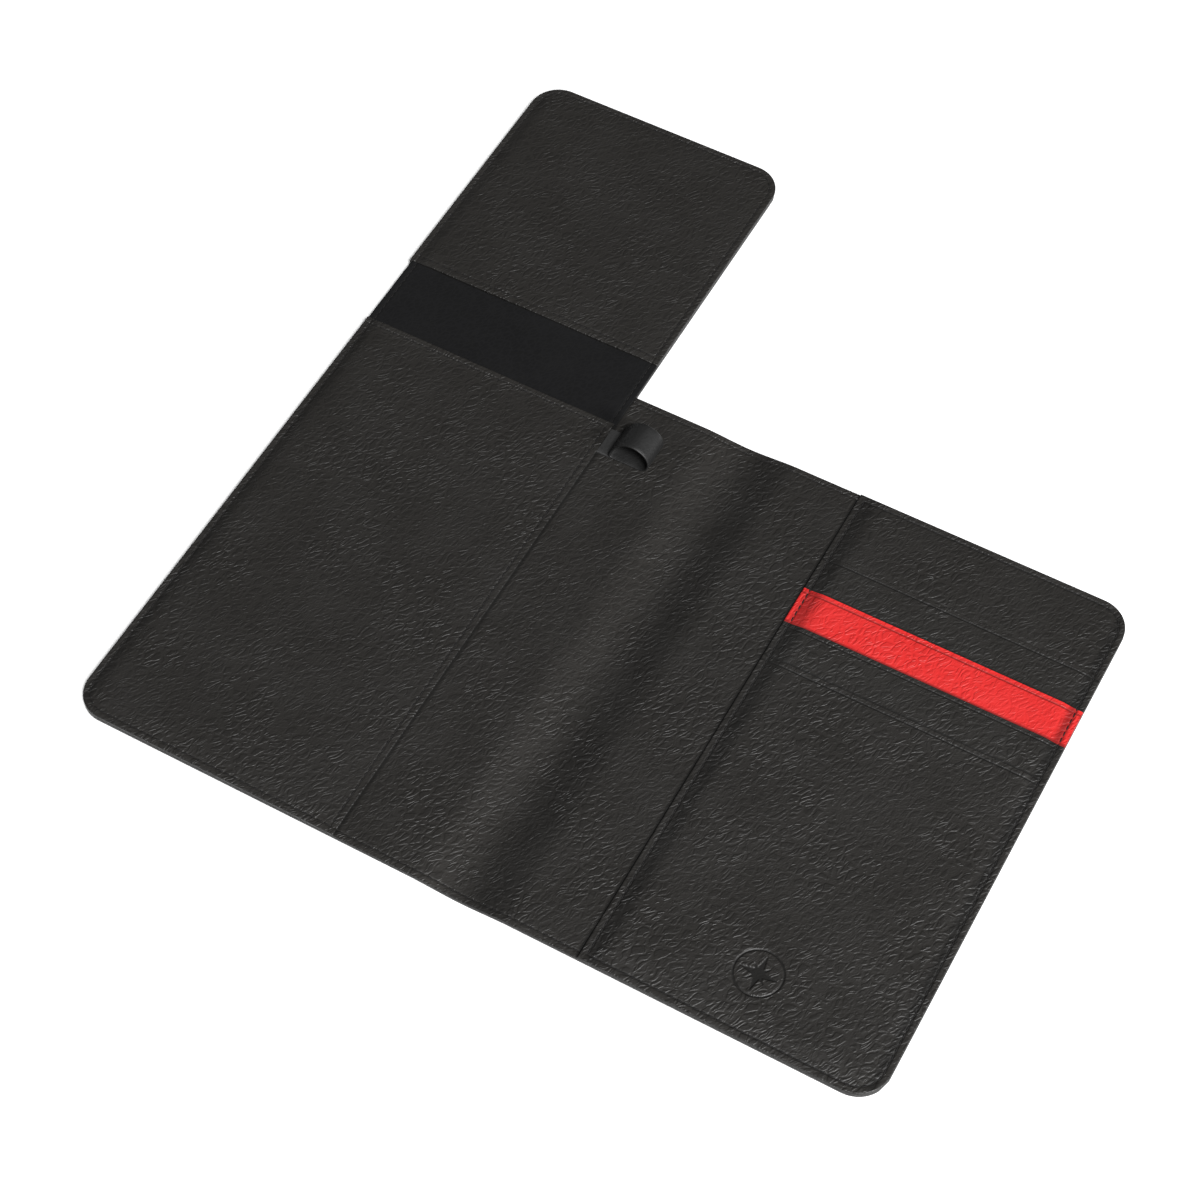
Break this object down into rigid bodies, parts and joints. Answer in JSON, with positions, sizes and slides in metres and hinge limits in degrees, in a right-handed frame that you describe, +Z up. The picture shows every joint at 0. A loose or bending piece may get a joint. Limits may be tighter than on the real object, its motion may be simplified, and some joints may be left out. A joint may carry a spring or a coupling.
{
  "type": "logbook cover",
  "caption": "Leather cover for a logbook, open flat: two covers with sleeves, a soft spine, card slots, a pen loop and a closing flap.",
  "frame": {"origin": "on the surface that the open cover lies on, at the middle of its outline (covers and flap together)", "axes": "+Z up out of the open spread; +X from the back cover to the front cover; +Y from the bottom edge towards the flap"},
  "size_m": [0.325, 0.3546, 0.017],
  "materials": {
    "leather_outer": "pebble grained, semi-matt",
    "leather_lining": "wrinkled pebble grain, semi-matt",
    "leather_smooth": "smooth, matt",
    "leather_red": "grained, semi-matt",
    "leather_loop": "fine grained, semi-matt",
    "leather_tab": "smooth, satin",
    "grey_board": "raw",
    "reinforcement": "non-woven",
    "magnet": "nickel plated",
    "steel_disc": "zinc plated"
  },
  "bodies": {
    "back_cover": {"back_cover_leather": "leather_outer", "back_cover_board": "grey_board", "back_hinge_strip": "reinforcement", "back_cover_lining": "leather_lining", "hinge_band_lower_lining": "leather_smooth", "back_cover_sleeve": "leather_lining", "pen_loop": "leather_loop", "pen_loop_tab": "leather_tab"},
    "spine": {"spine_leather": "leather_outer", "spine_strip": "reinforcement", "spine_lining": "leather_lining"},
    "front_cover": {"front_cover_leather": "leather_outer", "front_cover_board": "grey_board", "front_hinge_strip": "reinforcement", "front_cover_lining": "leather_lining", "closing_keepers": "steel_disc", "card_panel_backing": "leather_lining", "card_slot_top": "leather_lining", "card_slot_red": "leather_red", "card_slot_lower": "leather_lining", "front_pocket_panel": "leather_lining"},
    "flap_band": {"flap_band_leather": "leather_outer", "flap_band_lining": "leather_smooth"},
    "flap": {"flap_leather": "leather_outer", "flap_board": "grey_board", "closing_magnets": "magnet", "flap_lining": "leather_lining"}
  },
  "joints": [
    {"name": "spine_fold", "type": "hinge", "parent": "back_cover", "child": "spine", "pos_m": [-0.0056, -0.0655, 0.0032], "axis": [0, -1, 0], "range_deg": [0, 90]},
    {"name": "front_cover_fold", "type": "hinge", "parent": "spine", "child": "front_cover", "pos_m": [0.0096, -0.0655, 0.0032], "axis": [0, -1, 0], "range_deg": [0, 90]},
    {"name": "band_fold", "type": "hinge", "parent": "back_cover", "child": "flap_band", "pos_m": [-0.10575, 0.0467, 0.00405], "axis": [1, 0, 0], "range_deg": [0, 90]},
    {"name": "flap_fold", "type": "hinge", "parent": "flap_band", "child": "flap", "pos_m": [-0.10575, 0.0643, 0.00405], "axis": [1, 0, 0], "range_deg": [0, 90]}
  ],
  "couplings": [
    {"joint": "front_cover_fold", "follows": "spine_fold", "ratio": 1},
    {"joint": "flap_fold", "follows": "band_fold", "ratio": 1}
  ]
}
